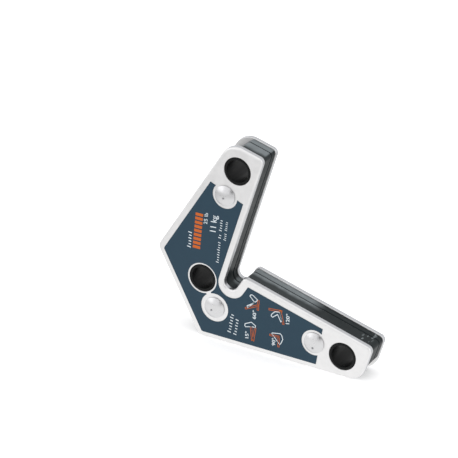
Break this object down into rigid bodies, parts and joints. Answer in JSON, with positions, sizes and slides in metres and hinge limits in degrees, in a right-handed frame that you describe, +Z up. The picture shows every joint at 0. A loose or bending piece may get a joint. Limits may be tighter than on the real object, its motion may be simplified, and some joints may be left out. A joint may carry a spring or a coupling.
{
  "type": "magnetic welding holder",
  "caption": "Flat L-shaped magnetic welding holder with a square inner corner, tapered arms, domed rivets and through sleeves.",
  "frame": {"origin": "under the middle of the part's length, half way through its thickness, on the standing edge", "axes": "+X along the standing edge towards the lower arm's tip, -Y out of the labelled front face, +Z up"},
  "size_m": [0.1027, 0.0184, 0.0923],
  "materials": {
    "plate": "stamped steel, zinc plated, satin",
    "label": "printed vinyl film, slate blue, satin",
    "core": "moulded black plastic, semi-gloss",
    "magnet": "sintered ferrite, ground",
    "sleeve": "moulded black plastic, glossy",
    "rivet": "bright steel, tumbled"
  },
  "bodies": {
    "root": {"front_plate": "plate", "back_plate": "plate", "angle_label": "label", "core_tray": "core", "core_lid": "core", "upper_magnet": "magnet", "lower_magnet": "magnet", "corner_magnet": "magnet", "upper_sleeve": "sleeve", "upper_rivet": "rivet", "middle_sleeve": "sleeve", "middle_rivet": "rivet", "lower_sleeve": "sleeve", "lower_rivet": "rivet"}
  },
  "joints": []
}
